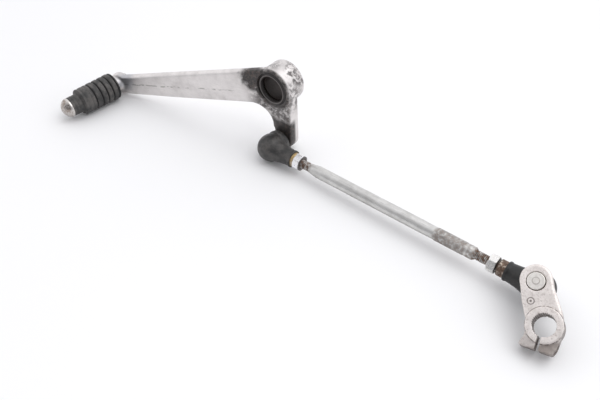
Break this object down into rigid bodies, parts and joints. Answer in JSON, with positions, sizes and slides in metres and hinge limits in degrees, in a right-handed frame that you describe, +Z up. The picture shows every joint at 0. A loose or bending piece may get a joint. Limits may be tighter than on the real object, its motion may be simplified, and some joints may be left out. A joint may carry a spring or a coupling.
{
  "type": "motorcycle gear shift lever linkage",
  "caption": "Cast pedal arm with a rubber toe peg, linked by an adjustable rod and booted ball joints to a splined clamp arm.",
  "frame": {"origin": "centre of the pivot bore, midway between the boss faces", "axes": "+Y along the pivot bore, toward the engine; +X along the tie rod from the pedal to the shift arm; +Z up as the part lies on a bench"},
  "size_m": [0.3676, 0.0928, 0.0616],
  "materials": {
    "cast_aluminium": "cast and worn, greasy round the pivot",
    "black_rubber": "aged matt black, dusty",
    "bare_steel": "satin, lightly rusted on the threads and knurl",
    "zinc_plated_steel": "zinc plated, yellowed",
    "bronze": "plain bearing bronze, oiled",
    "nylon_liner": "natural nylon liner"
  },
  "bodies": {
    "pedal": {"pedal_lever": "cast_aluminium", "pivot_bush": "bronze", "outer_dust_seal": "black_rubber", "inner_dust_seal": "black_rubber", "toe_peg": "bare_steel", "toe_peg_rubber": "black_rubber", "lever_ball_stud": "bare_steel"},
    "lever_liner": {"lever_joint_race": "nylon_liner"},
    "lever_rod_end": {"lever_joint_housing": "zinc_plated_steel", "lever_joint_cap": "zinc_plated_steel", "lever_joint_boot": "black_rubber"},
    "lever_nut": {"lever_locknut": "zinc_plated_steel"},
    "rod": {"shift_rod": "bare_steel"},
    "arm_nut": {"arm_locknut": "zinc_plated_steel"},
    "arm_rod_end": {"arm_joint_housing": "zinc_plated_steel", "arm_joint_cap": "zinc_plated_steel", "arm_joint_boot": "black_rubber"},
    "arm_liner": {"arm_joint_race": "nylon_liner"},
    "arm": {"arm_ball_stud": "bare_steel", "shift_arm": "cast_aluminium"}
  },
  "joints": [
    {"name": "lever_swivel", "type": "hinge", "parent": "pedal", "child": "lever_liner", "pos_m": [0.00764, -0.01933, -0.038], "axis": [0, 1, 0], "range_deg": [-60, 60]},
    {"name": "lever_tilt", "type": "hinge", "parent": "lever_liner", "child": "lever_rod_end", "pos_m": [0.00764, -0.01933, -0.038], "axis": [0.0144, 0, -0.9999], "range_deg": [-8.8, 9.2]},
    {"name": "rod_turn", "type": "hinge", "parent": "lever_rod_end", "child": "lever_nut", "pos_m": [0.02764, -0.01927, -0.03771], "axis": [0.9999, 0.0032, 0.0144], "range_deg": [-1085, 1085]},
    {"name": "rod_travel", "type": "slide", "parent": "lever_nut", "child": "rod", "axis": [0.9999, 0.0032, 0.0144], "range_m": [-0.003, 0.003]},
    {"name": "arm_travel", "type": "slide", "parent": "rod", "child": "arm_nut", "axis": [0.9999, 0.0032, 0.0144], "range_m": [-0.00301, 0.00301]},
    {"name": "arm_thread_turn", "type": "hinge", "parent": "arm_nut", "child": "arm_rod_end", "pos_m": [0.18058, -0.01878, -0.03551], "axis": [0.9999, 0.0032, 0.0144], "range_deg": [-1085, 1085]},
    {"name": "arm_tilt", "type": "hinge", "parent": "arm_rod_end", "child": "arm_liner", "pos_m": [0.20058, -0.01872, -0.03522], "axis": [-0.0108, 0.8242, 0.5663], "range_deg": [-7.3, 10.7]},
    {"name": "arm_swivel", "type": "hinge", "parent": "arm_liner", "child": "arm", "pos_m": [0.20058, -0.01872, -0.03522], "axis": [-0.04, -0.5662, 0.8233], "range_deg": [-60, 60]}
  ],
  "couplings": [
    {"joint": "rod_turn", "follows": "rod_travel", "rad_per_m": 6283.2},
    {"joint": "arm_travel", "follows": "rod_travel", "ratio": 1},
    {"joint": "arm_thread_turn", "follows": "rod_travel", "rad_per_m": -6283.2}
  ]
}
